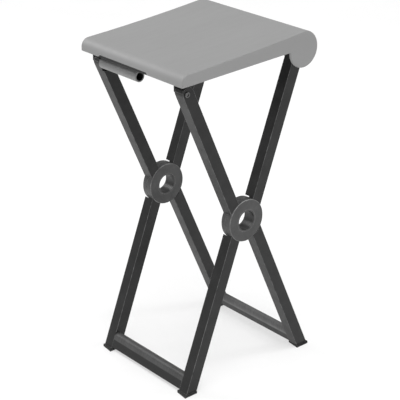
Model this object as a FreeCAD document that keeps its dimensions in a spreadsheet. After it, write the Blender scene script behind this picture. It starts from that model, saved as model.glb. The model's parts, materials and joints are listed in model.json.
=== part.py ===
"""Folding seat stool: two crossed leg frames, round see-through hubs and a moulded seat.

Frame of the model: +Z is up, the hub axes run along Y, the seat's rolled end is at +X and its
latch end at -X.  The origin is on the floor, under the middle of the whole stool.
"near" pieces are on the -Y side and "far" pieces on the +Y side.

The hinge frame leans towards +X and carries the seat's hinge inside the roll.
The latch frame leans towards -X and carries the pins that the seat hooks over.
"""
import FreeCAD, Part
import math
import os
import Sketcher
from FreeCAD import Placement, Rotation, Vector

os.makedirs("parts", exist_ok=True)
doc = FreeCAD.newDocument("folding_stool")

# --------------------------------------------------------------------------- driving sizes (mm)
SIZES = (
    ("hub_height", 277.8, "hub axis above the floor"),
    ("latch_lean", 24.03, "lean of the latch frame from upright, degrees"),
    ("hinge_lean", 20.54, "lean of the hinge frame from upright, degrees"),
    ("frame_width", 220.0, "over the outer faces of the legs"),
    ("bar_across", 20.8, "leg section in the plane of the cross"),
    ("bar_deep", 20.0, "leg section along Y"),
    ("bar_wall", 1.6, "wall of the leg tube"),
    ("bar_round", 1.0, "outer corner radius of the leg tube"),
    ("arm_offset", 11.7, "leg centre line beside the hub axis"),
    ("arm_core", 44.0, "solid root of each leg, from the hub axis"),
    ("latch_reach", 268.4, "hub to the latch frame's rounded tips"),
    ("hinge_reach", 286.1, "hub to the hinge frame's rounded tips"),
    ("tip_plug", 32.0, "length of the plug in an upper leg's end, to the tip centre"),
    ("ring_outer", 35.6, "hub ring outer radius"),
    ("ring_proud", 0.45, "hub ring face beyond the leg's face"),
    ("ring_rim", 0.8, "chamfer round a hub ring's outer face"),
    ("hinge_sweep", 2.2, "gap between the hinge frame's legs and the latch ring"),
    ("latch_sweep", 0.9, "gap between the latch frame's legs and the hinge ring"),
    ("washer_thick", 0.9, "friction washer"),
    ("washer_outer", 30.0, "friction washer outer radius"),
    ("bore_radius", 16.3, "open bore through each hub"),
    ("bush_wall", 2.2, "wall of the hub bush"),
    ("bush_flange", 22.0, "hub bush flange radius"),
    ("flange_thick", 1.5, "hub bush flange"),
    ("run_gap", 0.05, "radial clearance of a running fit"),
    ("side_gap", 0.1, "clearance between sliding faces"),
    ("rail_high", 27.3, "bottom rail, along the leg"),
    ("rail_deep", 10.0, "bottom rail thickness"),
    ("rail_top", 270.8, "hub to the rail's upper edge"),
    ("rail_round", 8.0, "rail's big upper front radius"),
    ("rail_wall", 1.5, "wall of the rail tube"),
    ("foot_long", 28.2, "foot pad along X"),
    ("foot_wide", 23.6, "foot pad along Y"),
    ("foot_thick", 4.2, "foot pad"),
    ("foot_groove", 0.8, "depth of the grooves in a foot pad's sides"),
    ("foot_pitch", 2.35, "spacing of those grooves"),
    ("foot_plug", 22.0, "foot plug inside the leg"),
    ("pin_shift", 2.6, "latch pin beside the leg centre line"),
    ("pin_radius", 3.0, "latch pin in the leg tip"),
    ("pin_shoulder", 3.6, "latch pin under the hook"),
    ("pin_head", 4.6, "latch pin head radius"),
    ("pin_head_thick", 1.6, "latch pin head"),
    ("pin_ease", 0.6, "chamfer on the latch pin"),
    ("pin_socket", 2.7, "hexagon socket in the pin head, corner radius"),
    ("pin_socket_deep", 1.2, "depth of that socket"),
    ("pin_end_long", 3.6, "latch pin beyond the leg, under the hook"),
    ("grip_outer", 9.0, "grip tube outer radius"),
    ("grip_inner", 6.4, "grip tube inner radius"),
    ("grip_ease", 0.7, "rounding of the grip tube's open end"),
    ("grip_start", 2.0, "grip tube's open end beside the middle of the stool"),
    ("grip_sink", 4.5, "grip tube let into the far tip"),
    ("step_radius", 13.2, "recess in the far tip for the grip tube"),
    ("axle_radius", 5.0, "seat axle"),
    ("axle_long", 240.0, "seat axle"),
    ("axle_ease", 0.8, "chamfer on the axle's ends"),
    ("seat_width", 248.0, "seat over its side plates"),
    ("seat_wall", 3.0, "seat shell thickness"),
    ("seat_front", 143.6, "hub axis to the seat's front face"),
    ("skirt_low", 534.8, "floor to the skirt's edge at the front"),
    ("skirt_slope", 2.5, "rise of the skirt's edge towards the roll, degrees"),
    ("top_front", 554.4, "floor to the seat surface at the front"),
    ("top_dip", 1.6, "hollow of the seat surface under its chord"),
    ("front_round", 14.0, "front edge radius"),
    ("side_round", 2.0, "side edge radius"),
    ("roll_x", 104.6, "hub axis to the roll's centre"),
    ("roll_height", 544.1, "floor to the roll's centre"),
    ("roll_radius", 29.7, "roll outer radius"),
    ("lip_angle", 300.0, "where the roll's wrapped wall ends, degrees from +X"),
    ("slot_end", 25.0, "where the leg slots end on the roll, degrees from +X"),
    ("slot_lap", 20.0, "where the slots start before the wrapped wall's end, degrees"),
    ("slot_side", 1.2, "gap beside a leg in its slot"),
    ("notch_from", -43.0, "finger notch in the front skirt, near end"),
    ("notch_to", 80.0, "finger notch in the front skirt, far end"),
    ("notch_high", 3.8, "finger notch height"),
    ("rib_thick", 2.5, "stiffening rib"),
    ("rib_place", 45.0, "ribs beside the middle"),
    ("rib_low", 10.0, "skirt edge to a rib's lower edge"),
    ("rib_back", 17.8, "roll's centre to a rib's end"),
    ("strip_thick", 2.0, "stiffener strip behind the front skirt"),
    ("strip_drop", 1.8, "strip's lower edge below the skirt's"),
    ("strip_high", 7.6, "strip height"),
    ("strip_long", 180.0, "strip length"),
    ("boss_deep", 4.0, "hook bracket's boss under the seat surface"),
    ("hook_front", 6.9, "hook's nose before the latch pin"),
    ("hook_back", 14.0, "hook bracket behind the latch pin"),
    ("hook_corner", 2.5, "cut corners of the hook plate"),
    ("hook_thick", 2.5, "hook plate and its flange"),
    ("hook_gap", 0.4, "gap round the latch pin and beside the leg"),
    ("screw_radius", 1.7, "bracket screw shank"),
    ("screw_head", 3.4, "bracket screw head radius"),
    ("screw_head_thick", 2.0, "bracket screw head"),
    ("screw_deep", 3.0, "bracket screw in the boss"),
    ("block_radius", 9.0, "hinge block"),
    ("block_flange", 15.0, "hinge block flange"),
    ("block_flange_thick", 4.0, "hinge block flange thickness"),
    ("block_gap", 0.5, "hinge block beside the leg tip"),
)

sheet = doc.addObject("Spreadsheet::Sheet", "sizes")
for row, (alias, amount, note) in enumerate(SIZES, start=1):
    sheet.set(f"A{row}", alias)
    sheet.set(f"B{row}", str(amount))
    sheet.setAlias(f"B{row}", alias)
    sheet.set(f"C{row}", note)
doc.recompute()


def size(alias):
    """The number that a cell of the sheet holds."""
    return float(sheet.get(alias))


def bind(thing, **expressions):
    """Bind properties of an object to expressions of the sheet's cells."""
    for name, expression in expressions.items():
        for alias, _, _ in sorted(SIZES, key=lambda entry: -len(entry[0])):
            expression = expression.replace(f"<{alias}>", f"sizes.{alias}")
        thing.setExpression(name, expression)


# --------------------------------------------------------------------------- derived places
half_across = size("bar_across") / 2
half_deep = size("bar_deep") / 2
hub_z = size("hub_height")
latch_lean = size("latch_lean")
hinge_lean = size("hinge_lean")


def foot_reach(lean):
    """Distance in X from the hub axis to where a lower leg's centre line meets the floor."""
    tilt = math.radians(lean)
    start_x = size("arm_offset") * math.cos(tilt)
    start_z = hub_z + size("arm_offset") * math.sin(tilt)
    return start_x + start_z * math.tan(tilt)


# The stool reaches from the seat's front face to the latch frame's feet.
front_reach = size("seat_front")
back_reach = foot_reach(latch_lean) + size("foot_long") / 2
hub_x = (front_reach - back_reach) / 2

SIDES = {"near": -1, "far": 1}
leg_y = {side: sign * (size("frame_width") / 2 - half_deep) for side, sign in SIDES.items()}
# Each frame's name, which side of the hub its arms pass, its ring's half and its lean.
FRAMES = {
    "hinge": {"offset": size("arm_offset"), "ring_side": -1, "lean": hinge_lean},
    "latch": {"offset": -size("arm_offset"), "ring_side": 1, "lean": -latch_lean},
}
SLACK = 1.0     # how far a cutting tool passes the surface it cuts


def turn(degrees):
    """Rotation about Y that swings +Z towards +X."""
    return Rotation(Vector(0, 1, 0), degrees)


def arm_place(side, degrees):
    """Where an arm's own frame sits: origin on the hub axis, +Z out along the arm."""
    return Placement(Vector(hub_x, leg_y[side], hub_z), turn(degrees))


def out_of_hub(degrees, across, along):
    """A point of the cross's plane given in an arm's own frame, as X and Z of the model."""
    point = turn(degrees).multVec(Vector(across, 0, along))
    return Vector(hub_x + point.x, 0, hub_z + point.z)


pin_axis = out_of_hub(-latch_lean, -size("arm_offset") - size("pin_shift"), size("latch_reach"))
seat_axis = out_of_hub(hinge_lean, size("arm_offset"), size("hinge_reach"))
roll_centre = Vector(hub_x + size("roll_x"), 0, size("roll_height"))

# Corner points of the seat's side outline, as (X, Z) of a sketch.
front_x = hub_x - size("seat_front")
skirt_front = Vector(front_x, size("skirt_low"), 0)
skirt_run = roll_centre.x - size("roll_radius") - front_x
skirt_back_z = size("skirt_low") + skirt_run * math.tan(math.radians(size("skirt_slope")))
top_start = Vector(front_x + size("front_round"), size("top_front"), 0)
hook_seat_z = size("top_front") - size("seat_wall") - size("boss_deep")

sub_parts = []


def keep(thing, label, place=None):
    """Register an object as a sub-part under the label that names its file."""
    thing.Label = label
    if place is not None:
        thing.Placement = place
    sub_parts.append(thing)


# --------------------------------------------------------------------------- building blocks
def block(name, low, **sides):
    """Box primitive with bound sides, its lowest corner at low."""
    box = doc.addObject("Part::Box", name)
    bind(box, **sides)
    box.Placement = Placement(Vector(*low), Rotation())
    return box


def rod(name, start, radius, length):
    """Cylinder primitive along +Y with bound radius and length, from start."""
    cylinder = doc.addObject("Part::Cylinder", name)
    bind(cylinder, Radius=radius, Height=length)
    cylinder.Placement = Placement(Vector(*start), Rotation(Vector(1, 0, 0), -90))
    return cylinder


def cut(name, base, tool):
    """Boolean difference."""
    result = doc.addObject("Part::Cut", name)
    result.Base = base
    result.Tool = tool
    return result


def common(name, base, tool):
    """Boolean intersection."""
    result = doc.addObject("Part::Common", name)
    result.Base = base
    result.Tool = tool
    return result


def fuse(name, *shapes):
    """Boolean union."""
    result = doc.addObject("Part::MultiFuse", name)
    result.Shapes = list(shapes)
    result.Refine = True
    return result


def round_edges(name, base, radius, wanted):
    """Fillet the edges of a finished shape for which wanted(edge) is true."""
    doc.recompute()
    chosen = [(index, radius, radius) for index, edge in enumerate(base.Shape.Edges, start=1) if wanted(edge)]
    result = doc.addObject("Part::Fillet", name)
    result.Base = base
    result.Edges = chosen
    return result


def runs_along(axis):
    """Test for straight edges parallel to a unit vector."""
    def wanted(edge):
        if not isinstance(edge.Curve, (Part.Line, Part.LineSegment)):
            return False
        return abs(abs(edge.tangentAt(edge.FirstParameter).dot(axis)) - 1) < 1e-6
    return wanted


def new_body(name):
    """Empty PartDesign body."""
    return doc.addObject("PartDesign::Body", name)


def new_sketch(body, name, role, shift=0.0):
    """Sketch on one of the body's own origin planes, moved along the plane's normal."""
    sketch = body.newObject("Sketcher::SketchObject", name)
    plane = next(feature for feature in body.Origin.OriginFeatures if feature.Role == role)
    sketch.AttachmentSupport = [(plane, "")]
    sketch.MapMode = "FlatFace"
    sketch.AttachmentOffset = Placement(Vector(0, 0, shift), Rotation())
    return sketch


def add_circle(sketch, expression):
    """Circle about the sketch's origin with its radius bound to the sheet."""
    index = sketch.addGeometry(Part.Circle(Vector(), Vector(0, 0, 1), 10.0), False)
    sketch.addConstraint(Sketcher.Constraint("Coincident", index, 3, -1, 1))
    radius = sketch.addConstraint(Sketcher.Constraint("Radius", index, 10.0))
    bind(sketch, **{f"Constraints[{radius}]": expression})


def add_outline(sketch, corners):
    """Closed outline of straight sides through corners given as (x, y)."""
    first = sketch.GeometryCount
    count = len(corners)
    for number, corner in enumerate(corners):
        following = corners[(number + 1) % count]
        sketch.addGeometry(Part.LineSegment(Vector(*corner, 0), Vector(*following, 0)), False)
    for number in range(count):
        joint = Sketcher.Constraint("Coincident", first + number, 2, first + (number + 1) % count, 1)
        sketch.addConstraint(joint)


def add_path(sketch, edges):
    """Closed outline of ready-made edges that meet end to end."""
    for edge in edges:
        sketch.addGeometry(edge, False)


def pad_across(body, name, sketch, length):
    """Pad a sketch of the XZ plane equally to both sides, so that it spans length along Y."""
    pad = body.newObject("PartDesign::Pad", name)
    pad.Profile = sketch
    pad.SideType = "Symmetric"
    bind(pad, Length=length)
    sketch.Visibility = False
    return pad


def pocket_across(body, name, sketch, length):
    """Cut a sketch of the XZ plane equally to both sides, over length along Y."""
    pocket = body.newObject("PartDesign::Pocket", name)
    pocket.Profile = sketch
    pocket.SideType = "Symmetric"
    bind(pocket, Length=length)
    sketch.Visibility = False
    return pocket


def turned(name, outline):
    """Body turned about the Y axis from a half outline given as (radius, y)."""
    body = new_body(name)
    sketch = new_sketch(body, name + "_half", "XY_Plane")
    add_outline(sketch, outline)
    revolution = body.newObject("PartDesign::Revolution", name + "_turned")
    revolution.Profile = sketch
    revolution.ReferenceAxis = (sketch, ["V_Axis"])
    revolution.Angle = 360
    return body


# --------------------------------------------------------------------------- legs
def arm_outline(label, frame, upper):
    """Full outer form of a leg from the hub axis, with a round nose on an upper leg."""
    centre = FRAMES[frame]["offset"]
    length = f"<{frame}_reach>" if upper else "<hub_height> / cos(<latch_lean>) + <foot_plug>"
    bar = block(label + "_bar", (centre - half_across, -half_deep, 0),
                Length="<bar_across>", Width="<bar_deep>", Height=length)
    if not upper:
        return bar
    nose = rod(label + "_nose", (centre, -half_deep, size(f"{frame}_reach")),
               "<bar_across> / 2", "<bar_deep>")
    return fuse(label + "_outline", bar, nose)


def arm_inside(label, frame, start, length):
    """The room inside a leg's walls, from a distance along the leg."""
    wall = size("bar_wall")
    corner = (FRAMES[frame]["offset"] - half_across + wall, -half_deep + wall, start)
    return block(label, corner, Length="<bar_across> - 2 * <bar_wall>",
                 Width="<bar_deep> - 2 * <bar_wall>", Height=length)


def drill_tip(label, thing, frame, side):
    """Cut the axle's or pin's hole through a tip, and the grip tube's recess in the far latch tip."""
    shift, radius = (0, "<axle_radius>") if frame == "hinge" else (-size("pin_shift"), "<pin_radius>")
    middle = FRAMES[frame]["offset"] + shift
    start = (middle, -half_deep - SLACK, size(f"{frame}_reach"))
    drilled = cut(label + "_drilled", thing, rod(label + "_hole", start, radius, f"<bar_deep> + {2 * SLACK}"))
    if frame == "hinge" or side == "near":
        return drilled
    recess = rod(label + "_recess", start, "<step_radius>", f"<grip_sink> + {SLACK}")
    return cut(label + "_stepped", drilled, recess)


def is_leg_corner(edge):
    """Test for the long edges of a leg and the round ones of its nose."""
    if isinstance(edge.Curve, Part.Circle):
        return abs(edge.Curve.Radius - half_across) < 1e-6
    return runs_along(Vector(0, 0, 1))(edge)


def arm_tube(frame, end, side):
    """One leg of the cross: a tube with a solid root that is shaped to the two hub rings.

    The half of the root beside its own ring touches that ring; the other half stays clear of
    the other frame's ring, which turns there.
    """
    label = f"{frame}_{end}_leg_{side}"
    data = FRAMES[frame]
    upper = end == "upper"
    degrees = data["lean"] if upper else data["lean"] + 180
    rounded = round_edges(label + "_corners", arm_outline(label, frame, upper), size("bar_round"),
                          is_leg_corner)
    inside = arm_inside(label + "_inside", frame, size("arm_core"), "<hub_height>")
    hollow = cut(label + "_hollow", rounded, inside)
    outer_start = -half_deep - SLACK
    own_start, other_start = (outer_start, 0) if data["ring_side"] < 0 else (0, outer_start)
    half_length = f"<bar_deep> / 2 + {SLACK}"
    own = rod(label + "_own_ring", (0, own_start, 0), "<ring_outer>", half_length)
    other = rod(label + "_other_ring", (0, other_start, 0), f"<ring_outer> + <{frame}_sweep>", half_length)
    seated = cut(label + "_seated", hollow, own)
    cleared = cut(label + "_cleared", seated, other)
    if upper:
        keep(drill_tip(label, cleared, frame, side), label, arm_place(side, degrees))
        return
    joined = cut(label + "_joined", cleared, rail_seat(label, frame, side))
    floor = below_feet(label, degrees)
    keep(cut(label + "_footed", joined, floor), label, arm_place(side, degrees))


def below_feet(label, degrees):
    """Box that fills everything under the foot pads' upper face, in a lower leg's own frame."""
    floor = doc.addObject("Part::Box", label + "_floor")
    bind(floor, Length="<frame_width> * 2", Width="<frame_width> * 2", Height="<foot_thick> + <rail_high>")
    back = turn(-degrees)
    corner = Vector(-size("frame_width"), -size("frame_width"), -hub_z - size("rail_high"))
    floor.Placement = Placement(back.multVec(corner), back)
    return floor


def rail_seat(label, frame, side):
    """Recess in a leg's rounded inner corner that takes the bottom rail's end."""
    front = FRAMES[frame]["offset"] + half_across
    inner = -SIDES[side] * half_deep
    low = inner if inner < 0 else inner - size("bar_round")
    start = low - SLACK if inner < 0 else low
    return block(label + "_rail_end", (front - size("rail_deep"), start, size("rail_top")),
                 Length=f"<rail_deep> + {SLACK}", Width=f"<bar_round> + {SLACK}", Height="<rail_high>")


def arm_tip(frame, side):
    """Plug in an upper leg's end, rounded flush with the leg's nose, about the pin or axle."""
    label = f"{frame}_tip_{side}"
    start = size(f"{frame}_reach") - size("tip_plug")
    room = arm_inside(label + "_room", frame, start, "<tip_plug> * 2")
    plug = common(label + "_plug", arm_outline(label, frame, True), room)
    keep(drill_tip(label, plug, frame, side), label, arm_place(side, FRAMES[frame]["lean"]))


def ribbed_outline():
    """Foot pad's outline about its middle: plain ends, grooved long sides."""
    long_half, wide_half = size("foot_long") / 2, size("foot_wide") / 2
    deep, pitch = size("foot_groove"), size("foot_pitch")
    grooves = int((size("foot_long") - pitch) / pitch)
    first = -grooves * pitch / 2
    side = [(-long_half, -wide_half)]
    for number in range(grooves):
        start = first + (number + 0.25) * pitch
        end = start + pitch / 2
        side += [(start, -wide_half), (start, -wide_half + deep), (end, -wide_half + deep), (end, -wide_half)]
    return side + [(-x, -y) for x, y in side]


def foot_pad(frame, side):
    """Flat rubber foot with a slanted plug that fills the leg's open end."""
    label = f"{frame}_foot_{side}"
    data = FRAMES[frame]
    sign = 1 if frame == "latch" else -1
    foot_x = hub_x + sign * foot_reach(abs(data["lean"]))
    pad_body = new_body(label + "_body")
    outline = new_sketch(pad_body, label + "_outline", "XY_Plane")
    add_outline(outline, ribbed_outline())
    plate = pad_body.newObject("PartDesign::Pad", label + "_plate")
    plate.Profile = outline
    bind(plate, Length="<foot_thick>")
    pad_body.Placement = Placement(Vector(foot_x, leg_y[side], 0), Rotation())
    place = arm_place(side, data["lean"] + 180)
    along = hub_z / math.cos(math.radians(data["lean"])) - size("foot_plug")
    plug = arm_inside(label + "_plug", frame, along, "<foot_plug> * 2")
    plug.Placement = place.multiply(plug.Placement)
    reach = 2 * size("foot_long")
    below = block(label + "_below", (foot_x - reach, leg_y[side] - reach, size("foot_thick") / 2 - 2 * reach),
                  Length="<foot_long> * 4", Width="<foot_long> * 4", Height="<foot_long> * 4")
    trimmed = cut(label + "_trimmed", plug, below)
    keep(fuse(label + "_whole", pad_body, trimmed), label)


def bottom_rail(frame):
    """Flat tube between a frame's feet, flush with the legs' faces that look to -X.

    Its ends reach into the legs' rounded corners, and its lower edge stays above the foot pads.
    """
    label = f"{frame}_rail"
    data = FRAMES[frame]
    degrees = data["lean"] + 180
    front = data["offset"] + half_across
    back = front - size("rail_deep")
    top, bottom = size("rail_top"), size("rail_top") + size("rail_high")
    wall = size("rail_wall")
    body = new_body(label + "_body")
    outline = new_sketch(body, label + "_outline", "XZ_Plane")
    add_outline(outline, [(back, top), (front, top), (front, bottom), (back, bottom)])
    bar = pad_across(body, label + "_bar", outline, "<frame_width> - 2 * <bar_deep> + 2 * <bar_round>")
    doc.recompute()

    def corner_edge(x, z):
        for index, edge in enumerate(bar.Shape.Edges, start=1):
            middle = edge.CenterOfMass
            if abs(middle.x - x) < 1e-6 and abs(middle.z - z) < 1e-6 and abs(middle.y) < 1e-6:
                return f"Edge{index}"
        raise ValueError("no such edge")

    nose = body.newObject("PartDesign::Fillet", label + "_nose")
    nose.Base = (bar, [corner_edge(front, top)])
    bind(nose, Radius="<rail_round>")
    hole = new_sketch(body, label + "_hole", "XZ_Plane")
    inset = size("rail_round") / 2
    add_outline(hole, [(back + wall, top + inset), (front - wall, top + size("rail_round")),
                       (front - wall, bottom - wall), (back + wall, bottom - wall)])
    pocket_across(body, label + "_bore", hole, "<frame_width>")
    trimmed = cut(label + "_trimmed", body, below_feet(label, degrees))
    keep(trimmed, label, Placement(Vector(hub_x, 0, hub_z), turn(degrees)))


# --------------------------------------------------------------------------- hubs
def hub_ring(frame, side):
    """Half-lap ring of one frame; the bush passes through it."""
    label = f"{frame}_ring_{side}"
    data = FRAMES[frame]
    body = new_body(label + "_body")
    thick = half_deep + size("ring_proud") - size("washer_thick") / 2 - size("run_gap")
    middle = data["ring_side"] * (size("washer_thick") / 2 + size("run_gap") + thick / 2)
    sketch = new_sketch(body, label + "_circles", "XZ_Plane", -middle)
    add_circle(sketch, "<ring_outer>")
    clearance = "" if frame == "hinge" else " + <run_gap>"
    add_circle(sketch, "<bore_radius> + <bush_wall>" + clearance)
    pad = pad_across(body, label + "_pad", sketch,
                     "<bar_deep> / 2 + <ring_proud> - <washer_thick> / 2 - <run_gap>")
    doc.recompute()
    outside = data["ring_side"] * (half_deep + size("ring_proud"))
    rims = [f"Edge{index}" for index, edge in enumerate(pad.Shape.Edges, start=1)
            if abs(edge.CenterOfMass.y - outside) < 1e-6 and abs(edge.Curve.Radius - size("ring_outer")) < 1e-6]
    rim = body.newObject("PartDesign::Chamfer", label + "_rim")
    rim.Base = (pad, rims)
    bind(rim, Size="<ring_rim>")
    keep(body, label, arm_place(side, 0))


def hub_bush(side):
    """Hollow flanged bush: fixed in the hinge frame's ring, running in the latch frame's ring."""
    inner, outer = size("bore_radius"), size("bore_radius") + size("bush_wall")
    face = half_deep + size("ring_proud")
    step = face + size("side_gap")
    end = step + size("flange_thick")
    body = turned(f"hub_bush_{side}_body",
                  [(inner, -face), (outer, -face), (outer, step), (size("bush_flange"), step),
                   (size("bush_flange"), end), (inner, end)])
    keep(body, f"hub_bush_{side}", arm_place(side, 0))


def hub_washer(side):
    """Thin friction washer between the two rings."""
    label = f"hub_washer_{side}"
    start = -size("washer_thick") / 2
    disc = rod(label + "_disc", (0, start, 0), "<washer_outer>", "<washer_thick>")
    hole = rod(label + "_hole", (0, start - SLACK, 0), "<bore_radius> + <bush_wall> + <run_gap>",
               f"<washer_thick> + {2 * SLACK}")
    keep(cut(label + "_ring", disc, hole), label, arm_place(side, 0))


# --------------------------------------------------------------------------- latch pins and grip
def latch_pin(side):
    """Pin through a tip: socket head towards -Y, plain end under the hook towards +Y."""
    label = f"latch_pin_{side}"
    radius, shoulder, head = size("pin_radius"), size("pin_shoulder"), size("pin_head")
    ease = size("pin_ease")
    inner = -half_deep + (size("grip_sink") if side == "far" else 0)
    face = inner - size("pin_head_thick")
    end = half_deep + size("pin_end_long")
    body = turned(label + "_body",
                  [(0, face), (head - ease, face), (head, face + ease), (head, inner),
                   (radius, inner), (radius, half_deep), (shoulder, half_deep),
                   (shoulder, end - ease), (shoulder - ease, end), (0, end)])
    hexagon = new_sketch(body, label + "_hexagon", "XZ_Plane", -face)
    corners = [math.radians(60 * number) for number in range(6)]
    add_outline(hexagon, [(size("pin_socket") * math.cos(turned_by), size("pin_socket") * math.sin(turned_by))
                          for turned_by in corners])
    pocket_across(body, label + "_socket", hexagon, "<pin_socket_deep> * 2")
    keep(body, label, Placement(pin_axis + Vector(0, leg_y[side], 0), turn(-latch_lean)))


def grip_tube():
    """Open tube on the far tip, in line with the latch pins, up to the middle of the stool."""
    body = new_body("grip_tube_body")
    start, end = size("grip_start"), leg_y["far"] - half_deep + size("grip_sink")
    sketch = new_sketch(body, "grip_circles", "XZ_Plane", -(start + end) / 2)
    add_circle(sketch, "<grip_outer>")
    add_circle(sketch, "<grip_inner>")
    pad = pad_across(body, "grip_pad", sketch, "<frame_width> / 2 - <bar_deep> + <grip_sink> - <grip_start>")
    doc.recompute()
    rims = [f"Edge{index}" for index, edge in enumerate(pad.Shape.Edges, start=1)
            if abs(edge.CenterOfMass.y - start) < 1e-6]
    ease = body.newObject("PartDesign::Fillet", "grip_eased")
    ease.Base = (pad, rims)
    bind(ease, Radius="<grip_ease>")
    keep(body, "grip_tube", Placement(pin_axis, Rotation()))


# --------------------------------------------------------------------------- seat
def polar(centre, radius, degrees):
    """Point at an angle from +X on a circle of the XZ plane, in sketch coordinates."""
    angle = math.radians(degrees)
    return Vector(centre.x + radius * math.cos(angle), centre.z + radius * math.sin(angle), 0)


def top_tangent(start, radius):
    """Where a line from start touches the top of the roll's circle of a radius."""
    centre = Vector(roll_centre.x, roll_centre.z, 0)
    gap = centre - start
    reach = math.hypot(gap.x, gap.y)
    lift = math.atan2(gap.y, gap.x) + math.asin(radius / reach)
    along = math.sqrt(reach ** 2 - radius ** 2)
    return start + Vector(math.cos(lift), math.sin(lift), 0) * along


def sagged_arc(start, end, dip):
    """Arc from start to end that hangs dip below its chord."""
    chord = end - start
    normal = Vector(chord.y, -chord.x, 0).normalize()
    return Part.Arc(start, (start + end) / 2 + normal * dip, end)


def seat_side_outline():
    """Closed edges of the seat's side plate: front edge, surface, roll and skirt edge."""
    radius = size("roll_radius")
    round_start = Vector(front_x, size("top_front") - size("front_round"), 0)
    round_centre = Vector(top_start.x, round_start.y, 0)
    diagonal = math.sqrt(0.5) * size("front_round")
    touch = top_tangent(top_start, radius)
    side_angle = math.asin((skirt_back_z - roll_centre.z) / radius)
    meet = Vector(roll_centre.x - radius * math.cos(side_angle), skirt_back_z, 0)
    return [
        Part.LineSegment(skirt_front, round_start),
        Part.Arc(round_start, round_centre + Vector(-diagonal, diagonal, 0), top_start),
        sagged_arc(top_start, touch, size("top_dip")),
        Part.Arc(touch, polar(roll_centre, radius, -45), meet),
        Part.LineSegment(meet, skirt_front),
    ]


def seat_inside_outline():
    """Closed edges of the space under the seat, open below and into the roll."""
    wall = size("seat_wall")
    inner = size("roll_radius") - wall
    corner_round = size("front_round") - wall
    start = top_start - Vector(0, wall, 0)
    round_start = Vector(front_x + wall, start.y - corner_round, 0)
    diagonal = math.sqrt(0.5) * corner_round
    round_middle = Vector(start.x - diagonal, round_start.y + diagonal, 0)
    touch = top_tangent(start, inner)
    lip = polar(roll_centre, inner, size("lip_angle"))
    below = skirt_front.y - size("roll_radius")
    return [
        Part.LineSegment(Vector(round_start.x, below, 0), round_start),
        Part.Arc(round_start, round_middle, start),
        sagged_arc(start, touch, size("top_dip")),
        Part.Arc(touch, polar(roll_centre, inner, 0), lip),
        Part.LineSegment(lip, Vector(lip.x, below, 0)),
        Part.LineSegment(Vector(lip.x, below, 0), Vector(round_start.x, below, 0)),
    ]


def slot_outline():
    """Closed edges of a leg slot through the roll's wall, for the whole swing of the seat."""
    reach = 2 * size("seat_wall")
    inner, outer = size("roll_radius") - reach, size("roll_radius") + reach
    first, last = size("lip_angle") - size("slot_lap"), size("slot_end") + 360
    middle = (first + last) / 2
    return [
        Part.Arc(polar(roll_centre, outer, first), polar(roll_centre, outer, middle),
                 polar(roll_centre, outer, last)),
        Part.LineSegment(polar(roll_centre, outer, last), polar(roll_centre, inner, last)),
        Part.Arc(polar(roll_centre, inner, last), polar(roll_centre, inner, middle),
                 polar(roll_centre, inner, first)),
        Part.LineSegment(polar(roll_centre, inner, first), polar(roll_centre, outer, first)),
    ]


def seat_shell():
    """Moulded seat: rounded front, flat side plates with round ends, roll, ribs and bosses."""
    body = new_body("seat_shell_body")
    side = new_sketch(body, "side_outline", "XZ_Plane")
    add_path(side, seat_side_outline())
    solid = pad_across(body, "seat_solid", side, "<seat_width>")
    doc.recompute()
    half_width = size("seat_width") / 2

    def is_rim(edge):
        at_side = abs(abs(edge.CenterOfMass.y) - half_width) < 1e-6
        is_skirt = isinstance(edge.Curve, Part.Line) and edge.Length > size("seat_front")
        return at_side and not is_skirt

    rims = [f"Edge{index}" for index, edge in enumerate(solid.Shape.Edges, start=1) if is_rim(edge)]
    eased = body.newObject("PartDesign::Fillet", "seat_eased")
    eased.Base = (solid, rims)
    bind(eased, Radius="<side_round>")
    inside = new_sketch(body, "inside_outline", "XZ_Plane")
    add_path(inside, seat_inside_outline())
    pocket_across(body, "seat_inside", inside, "<seat_width> - 2 * <seat_wall>")
    for name, sign in SIDES.items():
        slot = new_sketch(body, f"slot_outline_{name}", "XZ_Plane", -leg_y[name])
        add_path(slot, slot_outline())
        pocket_across(body, f"leg_slot_{name}", slot, "<bar_deep> + 2 * <slot_side>")
    add_finger_notch(body)
    add_ribs(body)
    add_hook_bosses(body)
    keep(body, "seat_shell")


def add_finger_notch(body):
    """Shallow notch in the front skirt above the grip tube, with sloping ends."""
    sketch = new_sketch(body, "notch_outline", "YZ_Plane", hub_x - size("seat_front"))
    start, end = size("notch_from"), size("notch_to")
    slope = size("notch_high")
    low, high = size("skirt_low") - slope, size("skirt_low") + slope
    add_outline(sketch, [(start, low), (start, size("skirt_low")), (start + slope, high),
                         (end - slope, high), (end, size("skirt_low")), (end, low)])
    notch = body.newObject("PartDesign::Pocket", "finger_notch")
    notch.Profile = sketch
    notch.SideType = "Symmetric"
    bind(notch, Length="<seat_wall> * 4")


def add_ribs(body):
    """Two ribs along X under the seat surface, from the front skirt to the roll."""
    back_x = roll_centre.x - size("rib_back")
    low = size("skirt_low") + size("rib_low")
    wall = size("seat_wall")
    diagonal = math.sqrt(0.5) * (size("front_round") - wall / 2)
    in_round = (top_start.x - diagonal, top_start.y - size("front_round") + diagonal)
    outline = [(front_x + wall / 2, low), in_round, (top_start.x, top_start.y - wall / 2),
               (back_x, top_start.y + size("rib_low")), (back_x, low + size("rib_low"))]
    for name, sign in SIDES.items():
        rib = new_sketch(body, f"rib_outline_{name}", "XZ_Plane", -sign * size("rib_place"))
        add_outline(rib, outline)
        pad_across(body, f"rib_{name}", rib, "<rib_thick>")


def hook_span_y(side):
    """Y of the hook bracket on a side: from the flange's free edge to the plate's outer face."""
    plate_end = leg_y[side] + half_deep + size("hook_gap") + size("hook_thick")
    return plate_end - size("bar_deep") - size("hook_thick"), plate_end


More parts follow.
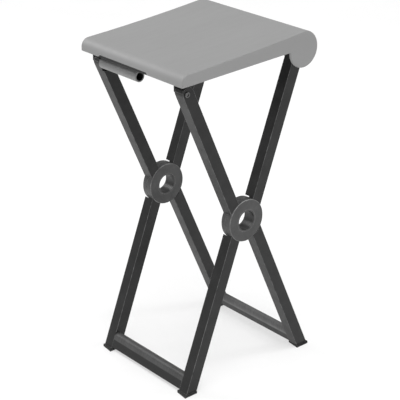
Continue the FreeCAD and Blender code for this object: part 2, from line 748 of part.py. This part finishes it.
def add_hook_bosses(body):
    """Flat-bottomed blocks under the seat surface for the two hook brackets."""
    left, right = pin_axis.x - size("hook_front"), pin_axis.x + size("hook_back")
    roof = hook_seat_z + size("boss_deep") + size("seat_wall") / 2
    for side in SIDES:
        low_y, high_y = hook_span_y(side)
        boss = new_sketch(body, f"boss_outline_{side}", "XZ_Plane", -(low_y + high_y) / 2)
        add_outline(boss, [(left, hook_seat_z), (right, hook_seat_z), (right, roof), (left, roof)])
        pad_across(body, f"hook_boss_{side}", boss, "<bar_deep> + <hook_thick>")


def skirt_strip():
    """Steel strip bonded behind the front skirt; it keeps the moulded edge straight."""
    low = size("skirt_low") - size("strip_drop")
    corner = (front_x + size("seat_wall"), -size("strip_long") / 2, low)
    bar = block("skirt_strip_bar", corner,
                Length="<strip_thick>", Width="<strip_long>", Height="<strip_high>")
    eased = round_edges("skirt_strip_eased", bar, size("strip_thick") / 4, runs_along(Vector(0, 1, 0)))
    keep(eased, "skirt_strip")


def hook_bracket(side):
    """Bent bracket under the seat: a flange and a plate whose hook sits over the latch pin."""
    label = f"hook_bracket_{side}"
    low_y, high_y = hook_span_y(side)
    base = hook_seat_z
    thick = size("hook_thick")
    left, right = pin_axis.x - size("hook_front"), pin_axis.x + size("hook_back")
    body = new_body(label + "_body")
    radius = size("pin_shoulder") + size("hook_gap")
    corner = size("hook_corner")
    nose_low = pin_axis.z - corner / 2
    wall_x = pin_axis.x - radius
    roof = pin_axis.z + radius
    plate = new_sketch(body, label + "_plate", "XZ_Plane", -(high_y - thick / 2))
    diagonal = math.sqrt(0.5) * radius
    points = {
        "top_left": Vector(left, base, 0),
        "nose_left": Vector(left, nose_low + corner, 0),
        "nose_low": Vector(left + corner, nose_low, 0),
        "nose_inner": Vector(wall_x, nose_low, 0),
        "arc_start": Vector(wall_x, pin_axis.z, 0),
        "arc_middle": Vector(pin_axis.x - diagonal, pin_axis.z + diagonal, 0),
        "arc_end": Vector(pin_axis.x, roof, 0),
        "roof_end": Vector(right - corner, roof, 0),
        "heel": Vector(right, roof + corner, 0),
        "top_right": Vector(right, base, 0),
    }
    add_path(plate, [
        Part.LineSegment(points["top_left"], points["nose_left"]),
        Part.LineSegment(points["nose_left"], points["nose_low"]),
        Part.LineSegment(points["nose_low"], points["nose_inner"]),
        Part.LineSegment(points["nose_inner"], points["arc_start"]),
        Part.Arc(points["arc_start"], points["arc_middle"], points["arc_end"]),
        Part.LineSegment(points["arc_end"], points["roof_end"]),
        Part.LineSegment(points["roof_end"], points["heel"]),
        Part.LineSegment(points["heel"], points["top_right"]),
        Part.LineSegment(points["top_right"], points["top_left"]),
    ])
    pad_across(body, label + "_hook", plate, "<hook_thick>")
    flange = new_sketch(body, label + "_flange", "XZ_Plane", -(low_y + high_y) / 2)
    add_outline(flange, [(left, base - thick), (right, base - thick), (right, base), (left, base)])
    pad_across(body, label + "_top", flange, "<bar_deep> + <hook_thick>")
    holes = new_sketch(body, label + "_holes", "XY_Plane", base - thick / 2)
    for x, y in screw_places(side):
        holes.addGeometry(Part.Circle(Vector(x, y, 0), Vector(0, 0, 1), size("screw_radius")), False)
    drilled = body.newObject("PartDesign::Pocket", label + "_drilled")
    drilled.Profile = holes
    drilled.SideType = "Symmetric"
    bind(drilled, Length="<hook_thick> * 2")
    keep(body, label)


def screw_places(side):
    """Centres of a bracket's two screws, as (x, y)."""
    middle = hook_span_y(side)[0] + size("bar_deep") / 2
    start, end = pin_axis.x - size("hook_front"), pin_axis.x + size("hook_back")
    inset = size("screw_head") + size("hook_gap")
    return [(start + inset, middle), (end - inset, middle)]


def bracket_screws():
    """The four screws of the hook brackets: pan heads below, shanks up into the bosses."""
    under = hook_seat_z - size("hook_thick")
    shapes = []
    for side in SIDES:
        for number, (x, y) in enumerate(screw_places(side), start=1):
            name = f"screw_{side}_{number}"
            head = doc.addObject("Part::Cylinder", name + "_head")
            bind(head, Radius="<screw_head>", Height="<screw_head_thick>")
            head.Placement = Placement(Vector(x, y, under - size("screw_head_thick")), Rotation())
            shank = doc.addObject("Part::Cylinder", name + "_shank")
            bind(shank, Radius="<screw_radius>", Height=f"<hook_thick> + <screw_deep> + {SLACK}")
            shank.Placement = Placement(Vector(x, y, under - SLACK), Rotation())
            shapes.append(fuse(name, head, shank))
    group = doc.addObject("Part::Compound", "screw_group")
    group.Links = shapes
    keep(group, "bracket_screws")


def drill_seat_for_screws(body):
    """Blind holes in the bosses for the bracket screws."""
    holes = new_sketch(body, "boss_holes", "XY_Plane", hook_seat_z)
    for side in SIDES:
        for x, y in screw_places(side):
            holes.addGeometry(Part.Circle(Vector(x, y, 0), Vector(0, 0, 1), size("screw_radius")), False)
    drilled = body.newObject("PartDesign::Pocket", "boss_drilled")
    drilled.Profile = holes
    drilled.SideType = "Symmetric"
    bind(drilled, Length="<screw_deep> * 2")


# --------------------------------------------------------------------------- seat hinge
def seat_axle():
    """Round bar through both hinge tips; it ties them together and carries the seat."""
    bar = rod("seat_axle_bar", (seat_axis.x, -size("axle_long") / 2, seat_axis.z),
              "<axle_radius>", "<axle_long>")
    doc.recompute()
    ends = doc.addObject("Part::Chamfer", "seat_axle_ends")
    ends.Base = bar
    ease = size("axle_ease")
    ends.Edges = [(index, ease, ease) for index, edge in enumerate(bar.Shape.Edges, start=1)
                  if isinstance(edge.Curve, Part.Circle)]
    keep(ends, "seat_axle")


def hinge_block(side):
    """Flanged bearing fixed inside the roll's end; it turns on the axle with the seat."""
    sign = SIDES[side]
    inner = size("frame_width") / 2 + size("block_gap")
    outer = size("seat_width") / 2 - size("seat_wall")
    step = outer - size("block_flange_thick")
    bore, hub, flange = size("axle_radius") + size("run_gap"), size("block_radius"), size("block_flange")
    outline = [(bore, inner), (hub, inner), (hub, step), (flange, step), (flange, outer), (bore, outer)]
    body = turned(f"hinge_block_{side}_body", [(radius, sign * y) for radius, y in outline])
    keep(body, f"hinge_block_{side}", Placement(seat_axis, Rotation()))


# --------------------------------------------------------------------------- build
for frame_name in FRAMES:
    for side_name in SIDES:
        arm_tube(frame_name, "upper", side_name)
        arm_tube(frame_name, "lower", side_name)
        arm_tip(frame_name, side_name)
        foot_pad(frame_name, side_name)
        hub_ring(frame_name, side_name)
    bottom_rail(frame_name)
for side_name in SIDES:
    hub_bush(side_name)
    hub_washer(side_name)
    latch_pin(side_name)
    hinge_block(side_name)
    hook_bracket(side_name)
grip_tube()
seat_axle()
seat_shell()
skirt_strip()
drill_seat_for_screws(doc.getObject("seat_shell_body"))
bracket_screws()
doc.recompute()

# --------------------------------------------------------------------------- check and write
for thing in doc.Objects:
    if "Invalid" in thing.State or "Error" in thing.State:
        raise RuntimeError(f"{thing.Name} failed: {thing.State}")
for part in sub_parts:
    if part.Shape.isNull() or not part.Shape.isValid():
        raise RuntimeError(f"{part.Label} has no valid shape")
for part in sub_parts:
    part.Shape.exportStep(os.path.join("parts", part.Label + ".step"))
    volume = part.Shape.Volume / 1000
    print(f"{part.Label:24s} {volume:8.2f} cm3  solids {len(part.Shape.Solids)}")
print("sub-parts:", len(sub_parts), " hub x:", round(hub_x, 2))
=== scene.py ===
"""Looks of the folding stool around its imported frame: powder-coated legs and a moulded grey seat."""

import json
import math

import bpy
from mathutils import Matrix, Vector


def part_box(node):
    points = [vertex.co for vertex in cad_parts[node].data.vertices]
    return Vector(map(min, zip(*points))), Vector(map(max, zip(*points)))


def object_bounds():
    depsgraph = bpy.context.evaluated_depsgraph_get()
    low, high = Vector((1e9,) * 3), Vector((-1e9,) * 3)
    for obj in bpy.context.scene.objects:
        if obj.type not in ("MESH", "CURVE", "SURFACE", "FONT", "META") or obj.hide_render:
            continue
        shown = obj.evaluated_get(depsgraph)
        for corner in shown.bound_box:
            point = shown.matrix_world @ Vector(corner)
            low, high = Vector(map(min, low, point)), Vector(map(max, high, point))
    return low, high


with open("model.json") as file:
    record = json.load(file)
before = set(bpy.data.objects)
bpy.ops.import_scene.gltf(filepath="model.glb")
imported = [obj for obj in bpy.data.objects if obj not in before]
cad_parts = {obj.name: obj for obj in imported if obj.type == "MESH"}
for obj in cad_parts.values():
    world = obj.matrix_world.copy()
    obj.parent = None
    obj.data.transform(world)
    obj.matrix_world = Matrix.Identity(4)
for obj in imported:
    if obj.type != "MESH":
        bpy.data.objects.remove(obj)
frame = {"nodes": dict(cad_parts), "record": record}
cad_low, cad_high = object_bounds()

# --------------------------------------------------------------------------- camera and studio
CAMERA_AZIMUTH = -40.7      # degrees, 0 looks along +Y
CAMERA_ELEVATION = 23.59    # degrees above the horizon
CAMERA_DISTANCE = 2.2388    # metres from the aim point
CAMERA_LENS = 121.9         # mm on the camera's own 36 mm sensor
CAMERA_CLIP = 50.0          # metres, past the far end of the floor
AIM_FROM_HUB = Vector((-0.0019, 0.0012, -0.0006))   # aim point beside the middle of the hub axis

FLOOR_HALF = 6.0            # metres, half the side of the square floor
FLOOR_GAP = 0.0003          # metres between the floor and the feet
FLOOR_GREY = 0.40
FLOOR_MOTTLE = 0.02         # how much darker the darkest patches are
FLOOR_ROUGHNESS = 0.6
FLOOR_GLOW = 0.56           # the floor gives off some light of its own, so shadows on it stay pale
SKY_LEVEL = 0.42            # upper sky
HORIZON_LEVEL = 0.92        # a thin band at the horizon, as pale as the floor
HORIZON_BAND = 0.10         # sine of the elevation where that band has faded
OVERHEAD_AZIMUTH = -35.0    # broad overhead light
OVERHEAD_ELEVATION = 76.0
OVERHEAD_ANGLE = 50.0       # degrees across
OVERHEAD_STRENGTH = 2.0
OVERHEAD_DISTANCE = 3.0     # metres, which changes nothing: this light has no falloff
SOFTBOX_DISTANCE = 1.8      # metres from the middle of the object

WHITE = (1.0, 1.0, 1.0, 1.0)
PAINT_IOR = 1.46            # moulded plastics and the grip tube's paint
BEVEL_SAMPLES = 6
EDGE_TURN = (0.02, 0.16)    # 1 - cosine of the bevelled normal's turn where an edge starts and is full
CORNER_START = (0.25, 0.50)    # sideways part of the normal where a painted highlight line along a corner fades in
CORNER_END = (0.85, 0.97)      # and where it fades out again
RAIL_BORDER = 0.0008        # metres, softness of the line between the painted reflection and the plain paint
PAINT_BORDER = 0.0006       # metres, softness of the line between the paint and the painted shade in the bore


def direction(azimuth, elevation):
    """Unit vector from the object towards a camera or lamp at that azimuth and elevation."""
    a, e = math.radians(azimuth), math.radians(elevation)
    return Vector((math.sin(a) * math.cos(e), -math.cos(a) * math.cos(e), math.sin(e)))


def hub_middle():
    """Middle of the axis that both hub bores share."""
    bores = [mount["pos_m"] for mount in frame["record"]["mounts"] if mount["kind"] == "bore"]
    return sum((Vector(place) for place in bores), Vector()) / len(bores)


def look_from(thing, away, distance, aim):
    """Puts a camera or lamp at a distance from the aim point, pointing at it."""
    thing.location = aim + away * distance
    thing.rotation_euler = (-away).to_track_quat("-Z", "Y").to_euler()


def make_camera():
    """The scene's camera, aimed at the hubs."""
    camera = bpy.data.objects.new("camera", bpy.data.cameras.new("camera"))
    camera.data.lens = CAMERA_LENS
    camera.data.clip_end = CAMERA_CLIP
    bpy.context.scene.collection.objects.link(camera)
    middle = hub_middle()
    aim = Vector((middle.x, 0.0, middle.z)) + AIM_FROM_HUB
    look_from(camera, direction(CAMERA_AZIMUTH, CAMERA_ELEVATION), CAMERA_DISTANCE, aim)
    bpy.context.scene.camera = camera


def add_overhead():
    """One broad, even light from above, the same over the whole floor."""
    data = bpy.data.lights.new("overhead", "SUN")
    data.angle = math.radians(OVERHEAD_ANGLE)
    data.energy = OVERHEAD_STRENGTH
    lamp = bpy.data.objects.new("overhead", data)
    bpy.context.scene.collection.objects.link(lamp)
    away = direction(OVERHEAD_AZIMUTH, OVERHEAD_ELEVATION)
    look_from(lamp, away, OVERHEAD_DISTANCE, (cad_low + cad_high) / 2)


def add_softbox(name, azimuth, elevation, width, height, power):
    """Rectangular area lamp aimed at the middle of the object."""
    data = bpy.data.lights.new(name, "AREA")
    data.shape = "RECTANGLE"
    data.size, data.size_y = width, height
    data.energy = power
    lamp = bpy.data.objects.new(name, data)
    bpy.context.scene.collection.objects.link(lamp)
    look_from(lamp, direction(azimuth, elevation), SOFTBOX_DISTANCE, (cad_low + cad_high) / 2)


def make_world():
    """Even grey sky with a pale band at the horizon, shown without a film-like curve."""
    scene = bpy.context.scene
    scene.view_settings.view_transform = "Standard"
    scene.world = bpy.data.worlds.new("studio")
    scene.world.use_nodes = True
    tree = scene.world.node_tree
    towards = tree.nodes.new("ShaderNodeTexCoord").outputs["Generated"]
    height = add_node(tree, "ShaderNodeSeparateXYZ", {"Vector": towards}).outputs["Z"]
    level = ramp(tree, height, 0.0, HORIZON_BAND, HORIZON_LEVEL, SKY_LEVEL)
    tree.links.new(level, tree.nodes["Background"].inputs["Strength"])
    tree.nodes["Background"].inputs["Color"].default_value = WHITE


# --------------------------------------------------------------------------- material helpers
def add_node(tree, kind, inputs=None, **settings):
    """A shader node; an input is either a plain value or the socket to link from."""
    node = tree.nodes.new(kind)
    for name, value in settings.items():
        setattr(node, name, value)
    for name, value in (inputs or {}).items():
        if isinstance(value, bpy.types.NodeSocket):
            tree.links.new(value, node.inputs[name])
        else:
            node.inputs[name].default_value = value
    return node


def new_material(name):
    """Material, its node tree, its shader and its object coordinates."""
    made = bpy.data.materials.new(name)
    made.use_nodes = True
    tree = made.node_tree
    place = tree.nodes.new("ShaderNodeTexCoord").outputs["Object"]
    return made, tree, tree.nodes["Principled BSDF"], place


def stretched(tree, place, scale):
    """Coordinates scaled by three factors, for grain that runs along one axis."""
    return add_node(tree, "ShaderNodeMapping", {"Vector": place, "Scale": scale}).outputs["Vector"]


def noise(tree, place, scale, detail=3.0, roughness=0.5):
    """Fractal noise with features of about 1/scale of the coordinates' unit: metres, unless stretched."""
    inputs = {"Vector": place, "Scale": scale, "Detail": detail, "Roughness": roughness}
    return add_node(tree, "ShaderNodeTexNoise", inputs).outputs["Fac"]


def ramp(tree, value, low, high, to_low, to_high):
    """Maps low..high to to_low..to_high, clamped."""
    inputs = {"Value": value, "From Min": low, "From Max": high, "To Min": to_low, "To Max": to_high}
    return add_node(tree, "ShaderNodeMapRange", inputs).outputs["Result"]


def fraction(tree, value, low, high):
    """0 up to low, 1 from high."""
    return ramp(tree, value, low, high, 0.0, 1.0)


def maths(tree, operation, first, second):
    """Arithmetic on two values, each a plain number or a socket."""
    node = add_node(tree, "ShaderNodeMath", operation=operation)
    for index, value in enumerate((first, second)):
        if isinstance(value, bpy.types.NodeSocket):
            tree.links.new(value, node.inputs[index])
        else:
            node.inputs[index].default_value = value
    return node.outputs["Value"]


def mixed(tree, share, first, second):
    """Colour between first and second by share."""
    node = add_node(tree, "ShaderNodeMix", data_type="RGBA")
    for name, value in (("Factor", share), ("A", first), ("B", second)):
        socket = next(s for s in node.inputs if s.name == name and s.enabled)
        if isinstance(value, bpy.types.NodeSocket):
            tree.links.new(value, socket)
        else:
            socket.default_value = value
    return next(s for s in node.outputs if s.enabled)


def edge_share(tree, radius):
    """0 on flat faces, up to 1 on outward and inward edges, found from the bevelled normal."""
    bevel = add_node(tree, "ShaderNodeBevel", {"Radius": radius}, samples=BEVEL_SAMPLES)
    flat = tree.nodes.new("ShaderNodeNewGeometry").outputs["Normal"]
    both = {0: bevel.outputs["Normal"], 1: flat}
    product = add_node(tree, "ShaderNodeVectorMath", both, operation="DOT_PRODUCT")
    turned = maths(tree, "SUBTRACT", 1.0, product.outputs["Value"])
    return fraction(tree, turned, *EDGE_TURN)


def corner_highlight_share(tree):
    """1 on the rounded corners and chamfers between the faces that look along Y and the others; a mask
    for painted highlight lines.
    """
    normal = tree.nodes.new("ShaderNodeNewGeometry").outputs["Normal"]
    sideways = add_node(tree, "ShaderNodeSeparateXYZ", {"Vector": normal}).outputs["Y"]
    lean = maths(tree, "ABSOLUTE", sideways, 0.0)
    rising = fraction(tree, lean, *CORNER_START)
    falling = ramp(tree, lean, *CORNER_END, 1.0, 0.0)
    return maths(tree, "MULTIPLY", rising, falling)


def bump(tree, height, distance, strength=1.0):
    """Normal of a skin whose relief is at most distance metres deep."""
    inputs = {"Height": height, "Distance": distance, "Strength": strength}
    return add_node(tree, "ShaderNodeBump", inputs).outputs["Normal"]


def grey(level):
    """Opaque neutral colour, as linear light."""
    return (level, level, level, 1.0)


# --------------------------------------------------------------------------- materials
def powder_coat(name, dark, light, wear_and_highlight, roughness, gloss):
    """Satin black powder coat: orange-peel skin, faint cloudiness, edges painted lighter, partly as
    abrasion and partly as painted highlight lines.
    """
    made, tree, shader, place = new_material(name)
    cloud = noise(tree, place, scale=30.0, detail=5.0, roughness=0.65)
    skin = noise(tree, place, scale=700.0, detail=3.0, roughness=0.6)
    body = mixed(tree, fraction(tree, cloud, 0.35, 0.65), dark, light)
    rub = noise(tree, place, scale=120.0, detail=4.0, roughness=0.65)
    # lighter edge and corner lines: partly abrasion, partly painted highlight
    edges = maths(tree, "MAXIMUM", edge_share(tree, 0.0012), corner_highlight_share(tree))
    worn_and_highlit = maths(tree, "MULTIPLY", edges, ramp(tree, rub, 0.35, 0.7, 0.25, 1.0))
    tree.links.new(mixed(tree, worn_and_highlit, body, wear_and_highlight), shader.inputs["Base Color"])
    mist = noise(tree, place, scale=45.0, detail=4.0, roughness=0.6)
    rough = ramp(tree, mist, 0.3, 0.7, roughness - 0.05, roughness + 0.07)
    tree.links.new(rough, shader.inputs["Roughness"])
    tree.links.new(bump(tree, skin, distance=0.0001, strength=0.6), shader.inputs["Normal"])
    shader.inputs["IOR"].default_value = gloss
    return made


def rail_with_painted_reflection(name, node, share, dark, painted_reflection):
    """Black bottom rail with a painted reflection, lighter over the upper share of its height and
    streaked along its length.
    """
    made = powder_coat(name, dark, dark, wear_and_highlight=grey(0.12), roughness=0.42, gloss=1.40)
    tree = made.node_tree
    shader = tree.nodes["Principled BSDF"]
    place = tree.nodes.new("ShaderNodeTexCoord").outputs["Object"]
    low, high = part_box(node)
    # the lighter band above this border is a painted reflection
    border = low[2] + (high[2] - low[2]) * (1.0 - share)
    height = add_node(tree, "ShaderNodeSeparateXYZ", {"Vector": place}).outputs["Z"]
    upper = fraction(tree, height, border, border + RAIL_BORDER)
    lengthwise = stretched(tree, place, (60.0, 500.0, 60.0))
    streaks = noise(tree, lengthwise, scale=1.0, detail=5.0, roughness=0.7)
    patches = noise(tree, place, scale=25.0, detail=4.0, roughness=0.6)
    reflection_streaks = maths(tree, "MULTIPLY", ramp(tree, streaks, 0.3, 0.7, 0.55, 1.0),
                   ramp(tree, patches, 0.3, 0.7, 0.65, 1.0))
    coat = shader.inputs["Base Color"].links[0].from_socket
    tree.links.new(mixed(tree, maths(tree, "MULTIPLY", upper, reflection_streaks), coat, painted_reflection),
                   shader.inputs["Base Color"])
    return made


def moulded_plastic(name, dark, light, roughness, grain, rim):
    """Grey moulded plastic: fine spark grain, slow flow clouds and edges painted lighter, partly as
    slight abrasion and partly as a painted highlight.
    """
    made, tree, shader, place = new_material(name)
    flow = noise(tree, stretched(tree, place, (4.0, 11.0, 11.0)), scale=1.0, detail=5.0, roughness=0.55)
    body = mixed(tree, fraction(tree, flow, 0.3, 0.7), dark, light)
    rub = noise(tree, place, scale=60.0, detail=4.0, roughness=0.6)
    # edges painted lighter: partly slight abrasion, partly painted highlight
    worn_and_highlit = maths(tree, "MULTIPLY", edge_share(tree, 0.0015), ramp(tree, rub, 0.3, 0.7, 0.4, 1.0))
    tree.links.new(mixed(tree, worn_and_highlit, body, rim), shader.inputs["Base Color"])
    scuff = noise(tree, stretched(tree, place, (9.0, 60.0, 60.0)), scale=1.0, detail=6.0, roughness=0.7)
    tree.links.new(ramp(tree, scuff, 0.35, 0.75, roughness - 0.06, roughness + 0.08),
                   shader.inputs["Roughness"])
    spark = noise(tree, place, scale=grain, detail=3.0, roughness=0.6)
    tree.links.new(bump(tree, spark, distance=0.00008, strength=0.5), shader.inputs["Normal"])
    shader.inputs["IOR"].default_value = PAINT_IOR
    return made


def painted_tube(name, node, dark, light, painted_bore_shade, bore):
    """Satin paint on a tube that lies along Y; its bore is darkened with painted shade."""
    made, tree, shader, place = new_material(name)
    low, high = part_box(node)
    middle = (Vector(low) + Vector(high)) / 2
    about_middle = {"Vector": place, "Location": (-middle.x, 0.0, -middle.z), "Scale": (1.0, 0.0, 1.0)}
    centred = add_node(tree, "ShaderNodeMapping", about_middle).outputs["Vector"]
    radius = add_node(tree, "ShaderNodeVectorMath", {0: centred}, operation="LENGTH").outputs["Value"]
    along_tube = stretched(tree, place, (300.0, 12.0, 300.0))
    lines = noise(tree, along_tube, scale=1.0, detail=5.0, roughness=0.65)
    paint = mixed(tree, fraction(tree, lines, 0.3, 0.7), dark, light)
    # within the bore radius the colour is painted shade
    outside = fraction(tree, radius, bore, bore + PAINT_BORDER)
    tree.links.new(mixed(tree, outside, painted_bore_shade, paint), shader.inputs["Base Color"])
    tree.links.new(ramp(tree, lines, 0.3, 0.7, 0.36, 0.50), shader.inputs["Roughness"])
    skin = noise(tree, place, scale=900.0)
    tree.links.new(bump(tree, skin, distance=0.00005, strength=0.5), shader.inputs["Normal"])
    shader.inputs["IOR"].default_value = PAINT_IOR
    return made


def drawn_metal(name, dark, light, roughness, along):
    """Bare metal with fine drawing lines; along scales the grain on the three axes."""
    made, tree, shader, place = new_material(name)
    lines = noise(tree, stretched(tree, place, along), scale=1.0, detail=5.0, roughness=0.65)
    tree.links.new(mixed(tree, fraction(tree, lines, 0.3, 0.7), dark, light),
                   shader.inputs["Base Color"])
    tree.links.new(ramp(tree, lines, 0.3, 0.7, roughness - 0.05, roughness + 0.08),
                   shader.inputs["Roughness"])
    tree.links.new(bump(tree, lines, distance=0.00002, strength=0.6), shader.inputs["Normal"])
    shader.inputs["Metallic"].default_value = 1.0
    return made


def rubber(name, dark, light):
    """Matt rubber with dusty patches."""
    made, tree, shader, place = new_material(name)
    dust = noise(tree, place, scale=70.0, detail=5.0, roughness=0.65)
    tree.links.new(mixed(tree, fraction(tree, dust, 0.4, 0.75), dark, light),
                   shader.inputs["Base Color"])
    tree.links.new(ramp(tree, dust, 0.3, 0.7, 0.7, 0.9), shader.inputs["Roughness"])
    pores = noise(tree, place, scale=1400.0, detail=3.0, roughness=0.6)
    tree.links.new(bump(tree, pores, distance=0.0001, strength=0.5), shader.inputs["Normal"])
    return made


SLOT_MATERIALS = {
    # the lighter edge colours below are partly abrasion and partly painted highlight; the grip tube's
    # bore colour is painted shade
    "frame_black": powder_coat(
        "frame_black", grey(0.007), grey(0.015), wear_and_highlight=grey(0.20), roughness=0.34, gloss=1.38),
    "seat_plastic": moulded_plastic(
        "seat_plastic", grey(0.252), grey(0.268), roughness=0.50, grain=1500.0, rim=grey(0.37)),
    "grip_paint": painted_tube(
        "grip_paint", "grip_tube", grey(0.20), grey(0.25), painted_bore_shade=grey(0.02), bore=0.0066),
    "rubber_feet": rubber("rubber_feet", grey(0.014), grey(0.035)),
    "hub_bearing": moulded_plastic(
        "hub_bearing", grey(0.030), grey(0.042), roughness=0.38, grain=1900.0, rim=grey(0.10)),
    "block_plastic": moulded_plastic(
        "block_plastic", grey(0.05), grey(0.07), roughness=0.45, grain=1900.0, rim=grey(0.12)),
    "axle_steel": drawn_metal(
        "axle_steel", grey(0.42), grey(0.55), roughness=0.28, along=(500.0, 15.0, 500.0)),
    "pin_steel": drawn_metal(
        "pin_steel", grey(0.10), grey(0.16), roughness=0.32, along=(500.0, 500.0, 500.0)),
    "bracket_steel": powder_coat(
        "bracket_steel", grey(0.008), grey(0.014), wear_and_highlight=grey(0.05), roughness=0.42, gloss=1.38),
}
# the ring's lighter edges are partly abrasion and partly painted highlight
RING_MATERIAL = powder_coat(
    "ring_black", grey(0.045), grey(0.070), wear_and_highlight=grey(0.30), roughness=0.40, gloss=1.40)
NODE_MATERIALS = {
    "hinge_ring_near": RING_MATERIAL,
    "hinge_ring_far": RING_MATERIAL,
    "latch_ring_near": RING_MATERIAL,
    "latch_ring_far": RING_MATERIAL,
    # each rail's lighter band is a painted reflection, set for that rail
    "latch_rail": rail_with_painted_reflection("latch_rail_black", "latch_rail", 0.55, grey(0.009), painted_reflection=grey(0.17)),
    "hinge_rail": rail_with_painted_reflection("hinge_rail_black", "hinge_rail", 0.42, grey(0.014), painted_reflection=grey(0.09)),
}


def dress_nodes():
    """Gives every node of the frame its own material, or that of its slot."""
    for part in frame["record"]["subparts"]:
        thing = frame["nodes"][part["node"]]
        finish = NODE_MATERIALS.get(part["node"], SLOT_MATERIALS[part["material_slot"]])
        thing.data.materials.clear()
        thing.data.materials.append(finish)


# --------------------------------------------------------------------------- floor
def make_floor():
    """Plain pale studio floor with a faint mottle."""
    mesh = bpy.data.meshes.new("floor")
    corners = [(-FLOOR_HALF, -FLOOR_HALF), (FLOOR_HALF, -FLOOR_HALF),
               (FLOOR_HALF, FLOOR_HALF), (-FLOOR_HALF, FLOOR_HALF)]
    mesh.from_pydata([(x, y, cad_low.z - FLOOR_GAP) for x, y in corners], [], [(0, 1, 2, 3)])
    floor = bpy.data.objects.new("floor", mesh)
    bpy.context.scene.collection.objects.link(floor)
    made, tree, shader, place = new_material("floor")
    mottle = noise(tree, place, scale=6.0, detail=3.0, roughness=0.5)
    patches = fraction(tree, mottle, 0.3, 0.7)
    colour = mixed(tree, patches, grey(FLOOR_GREY - FLOOR_MOTTLE), grey(FLOOR_GREY))
    tree.links.new(colour, shader.inputs["Base Color"])
    shader.inputs["Roughness"].default_value = FLOOR_ROUGHNESS
    shader.inputs["Emission Color"].default_value = WHITE
    shader.inputs["Emission Strength"].default_value = FLOOR_GLOW
    mesh.materials.append(made)


make_camera()
make_world()
add_overhead()
add_softbox("back", azimuth=-153.0, elevation=36.0, width=0.9, height=0.8, power=10.0)
add_softbox("front", azimuth=-29.0, elevation=36.0, width=0.5, height=0.5, power=2.5)
add_softbox("rim", azimuth=56.0, elevation=44.0, width=0.35, height=0.35, power=5.0)
make_floor()
dress_nodes()
